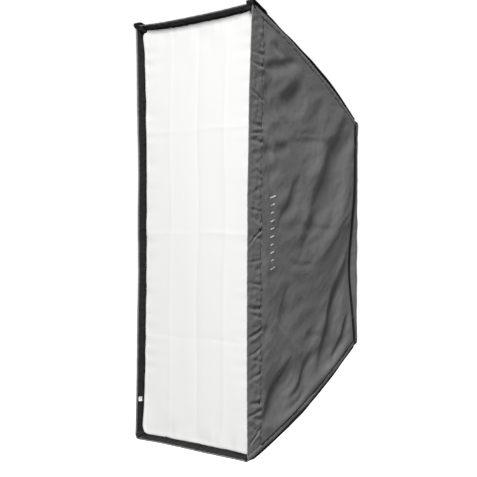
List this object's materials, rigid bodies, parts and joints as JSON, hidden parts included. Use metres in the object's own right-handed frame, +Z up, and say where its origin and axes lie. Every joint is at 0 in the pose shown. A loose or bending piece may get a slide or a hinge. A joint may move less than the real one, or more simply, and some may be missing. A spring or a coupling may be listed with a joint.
{
  "type": "strip softbox",
  "caption": "Tall strip softbox: a tapered cloth box held open by bent spring rods, with a recessed white diffuser in front and a rotating bayonet ring behind for a studio flash.",
  "frame": {"origin": "on the lamp axis, in the plane where the lamp head's flange seats on the insert", "axes": "+Y along the lamp axis, out of the back towards the flash head, so light leaves along -Y; +Z up along the strip's length; +X to the right seen from in front"},
  "size_m": [0.5, 0.691, 1.3],
  "materials": {
    "grey_satin": "satin",
    "black_cloth": "matte",
    "white_cloth": "matte",
    "tape": "matte",
    "label": "satin",
    "spring_steel": "satin",
    "ring_metal": "satin",
    "insert_metal": "satin",
    "screw_steel": "satin",
    "ferrule": "gloss",
    "black_plastic": "matte"
  },
  "bodies": {
    "mount": {"mount_insert": "insert_metal"},
    "box": {"baffle_straps": "black_cloth", "bottom_lip": "black_cloth", "bottom_panel": "grey_satin", "care_label": "label", "corner_pocket_lower_left": "black_cloth", "corner_pocket_lower_right": "black_cloth", "corner_pocket_upper_left": "black_cloth", "corner_pocket_upper_right": "black_cloth", "diffuser_hook_border": "tape", "front_diffuser": "white_cloth", "inner_baffle": "white_cloth", "left_lip": "black_cloth", "left_panel": "grey_satin", "lip_loop_tape": "tape", "rear_bottom_panel": "grey_satin", "rear_collar": "black_cloth", "rear_left_panel": "grey_satin", "rear_right_panel": "grey_satin", "rear_top_panel": "grey_satin", "retaining_ring": "ring_metal", "retaining_screws": "screw_steel", "right_lip": "black_cloth", "right_panel": "grey_satin", "rod_ferrules": "ferrule", "rod_lower_left": "spring_steel", "rod_lower_right": "spring_steel", "rod_socket_lower_left": "ring_metal", "rod_socket_lower_right": "ring_metal", "rod_socket_upper_left": "ring_metal", "rod_socket_upper_right": "ring_metal", "rod_tips": "black_plastic", "rod_upper_left": "spring_steel", "rod_upper_right": "spring_steel", "shoulder_piping": "black_cloth", "sleeve_lower_left": "grey_satin", "sleeve_lower_right": "grey_satin", "sleeve_upper_left": "grey_satin", "sleeve_upper_right": "grey_satin", "socket_screws": "screw_steel", "speedring": "ring_metal", "top_lip": "black_cloth", "top_panel": "grey_satin"},
    "lock_screw_upper": {"lock_screw_upper": "screw_steel"},
    "lock_knob_upper": {"lock_knob_upper": "black_plastic"},
    "lock_screw_lower": {"lock_screw_lower": "screw_steel"},
    "lock_knob_lower": {"lock_knob_lower": "black_plastic"}
  },
  "joints": [
    {"name": "box_rotation", "type": "hinge", "parent": "mount", "child": "box", "pos_m": [0, 0, 0], "axis": [0, 1, 0], "continuous": true},
    {"name": "lock_upper_travel", "type": "slide", "parent": "box", "child": "lock_screw_upper", "axis": [0, 0, 1], "range_m": [0, 0.0015]},
    {"name": "lock_upper_turn", "type": "hinge", "parent": "lock_screw_upper", "child": "lock_knob_upper", "pos_m": [0, -0.0085, 0.106], "axis": [0, 0, 1], "range_deg": [0, 540]},
    {"name": "lock_lower_travel", "type": "slide", "parent": "box", "child": "lock_screw_lower", "axis": [0, 0, -1], "range_m": [0, 0.0015]},
    {"name": "lock_lower_turn", "type": "hinge", "parent": "lock_screw_lower", "child": "lock_knob_lower", "pos_m": [0, -0.0085, -0.106], "axis": [0, 0, -1], "range_deg": [0, 540]}
  ],
  "couplings": [
    {"joint": "lock_upper_turn", "follows": "lock_upper_travel", "rad_per_m": 6283.2},
    {"joint": "lock_lower_turn", "follows": "lock_lower_travel", "rad_per_m": 6283.2}
  ]
}
